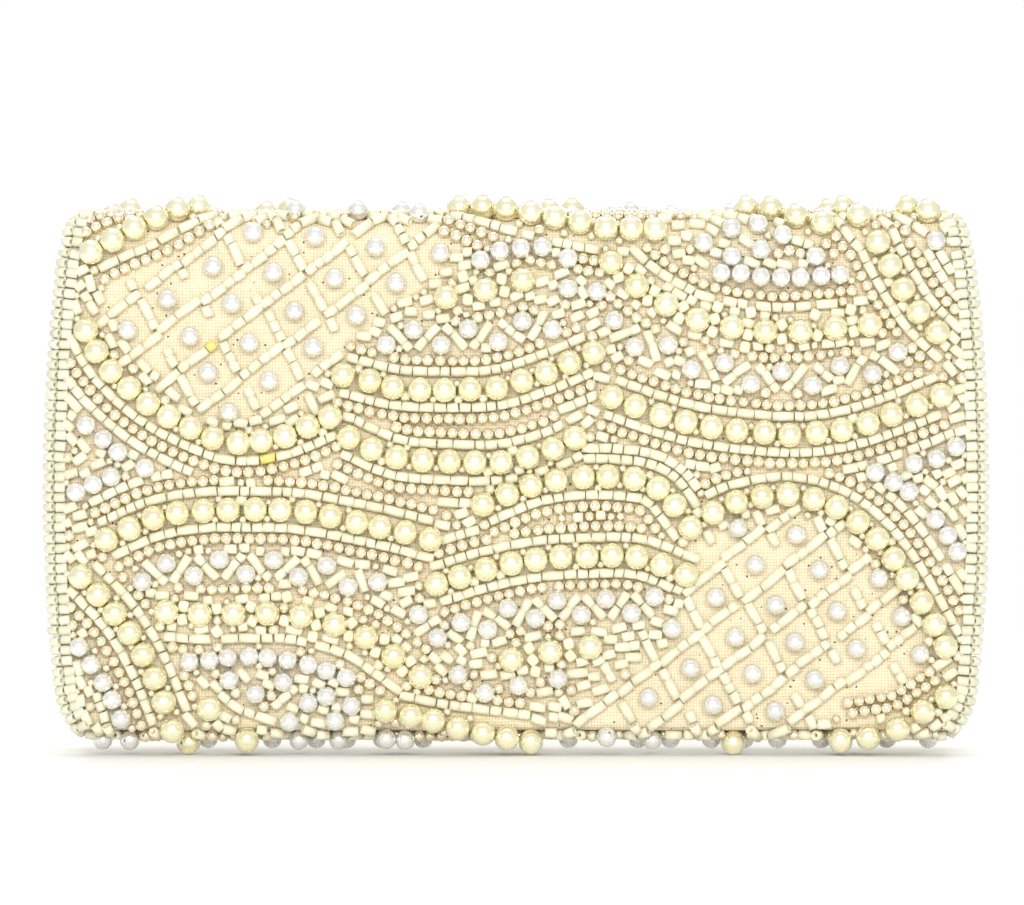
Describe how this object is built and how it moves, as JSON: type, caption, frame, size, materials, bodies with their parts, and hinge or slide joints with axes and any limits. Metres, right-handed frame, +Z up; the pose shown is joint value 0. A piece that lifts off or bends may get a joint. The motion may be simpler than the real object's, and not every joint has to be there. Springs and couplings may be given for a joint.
{
  "type": "evening bag",
  "caption": "Bead-embroidered evening clutch with a full-length fold-over flap, bead-bound edges, satin lining, folded gussets, slip pocket and magnetic snap.",
  "frame": {"origin": "middle of the base's underside, on the surface that the bag stands on", "axes": "+X across the bag to the right as seen from the beaded back, +Y from the back towards the flap, +Z up"},
  "size_m": [0.193, 0.032, 0.113],
  "materials": {
    "pearl_beadwork": "champagne and white imitation pearls, glossy, with cream tube beads",
    "edge_beads": "cream glass seed beads, satin gloss",
    "linen": "ivory plain-weave linen, matt",
    "satin": "ivory satin, soft sheen",
    "felt": "bonded interlining, matt",
    "board": "grey-brown millboard, matt",
    "gilt_metal": "gilt plated, polished",
    "steel_washer": "plain stamped steel",
    "magnet": "dark sintered ferrite, matt"
  },
  "bodies": {
    "body": {"back_beadwork": "pearl_beadwork", "back_shell": "linen", "back_board": "board", "back_lining": "satin", "back_edge_beads_left": "edge_beads", "back_edge_beads_right": "edge_beads", "base_beadwork": "pearl_beadwork", "base_shell": "linen", "base_board": "board", "base_lining": "satin", "base_edge_beads_left": "edge_beads", "base_edge_beads_right": "edge_beads", "slip_pocket": "satin", "pocket_hem": "satin", "gusset_left": "satin", "gusset_right": "satin", "rear_fold_beadwork": "pearl_beadwork", "rear_fold_shell": "linen", "rear_fold_interlining": "felt", "rear_fold_lining": "satin", "rear_fold_edge_beads": "edge_beads"},
    "crown": {"crown_beadwork": "pearl_beadwork", "crown_shell": "linen", "crown_interlining": "felt", "crown_lining": "satin", "crown_edge_beads": "edge_beads", "front_fold_beadwork": "pearl_beadwork", "front_fold_shell": "linen", "front_fold_interlining": "felt", "front_fold_lining": "satin", "front_fold_edge_beads": "edge_beads"},
    "flap": {"flap_beadwork": "pearl_beadwork", "flap_shell": "linen", "flap_board": "board", "flap_lining": "satin", "flap_edge_beads_left": "edge_beads", "flap_edge_beads_right": "edge_beads", "flap_edge_beads_bottom": "edge_beads", "snap_stud": "gilt_metal", "snap_stud_washer": "steel_washer"},
    "front": {"front_beadwork": "pearl_beadwork", "front_shell": "linen", "front_board": "board", "front_lining": "satin", "mouth_hem": "satin", "front_edge_beads_left": "edge_beads", "front_edge_beads_right": "edge_beads", "snap_socket_shell": "gilt_metal", "snap_socket_base": "gilt_metal", "snap_magnet": "magnet", "snap_socket_washer": "steel_washer"}
  },
  "joints": [
    {"name": "crown_fold", "type": "hinge", "parent": "body", "child": "crown", "pos_m": [0, -0.00939, 0.10639], "axis": [1, 0, 0], "range_deg": [0, 75], "deforming": ["rear_fold_beadwork", "rear_fold_shell", "rear_fold_interlining", "rear_fold_lining", "rear_fold_edge_beads"]},
    {"name": "flap_fold", "type": "hinge", "parent": "crown", "child": "flap", "pos_m": [0, 0.00939, 0.10639], "axis": [1, 0, 0], "range_deg": [0, 75], "deforming": ["front_fold_beadwork", "front_fold_shell", "front_fold_interlining", "front_fold_lining", "front_fold_edge_beads"]},
    {"name": "front_tilt", "type": "hinge", "parent": "body", "child": "front", "pos_m": [0, 0.0031, 0.0063], "axis": [1, 0, 0], "range_deg": [-12, 0], "deforming": ["gusset_left", "gusset_right"]}
  ],
  "couplings": [
    {"joint": "flap_fold", "follows": "crown_fold", "ratio": 1},
    {"joint": "front_tilt", "follows": "crown_fold", "ratio": -0.16}
  ]
}
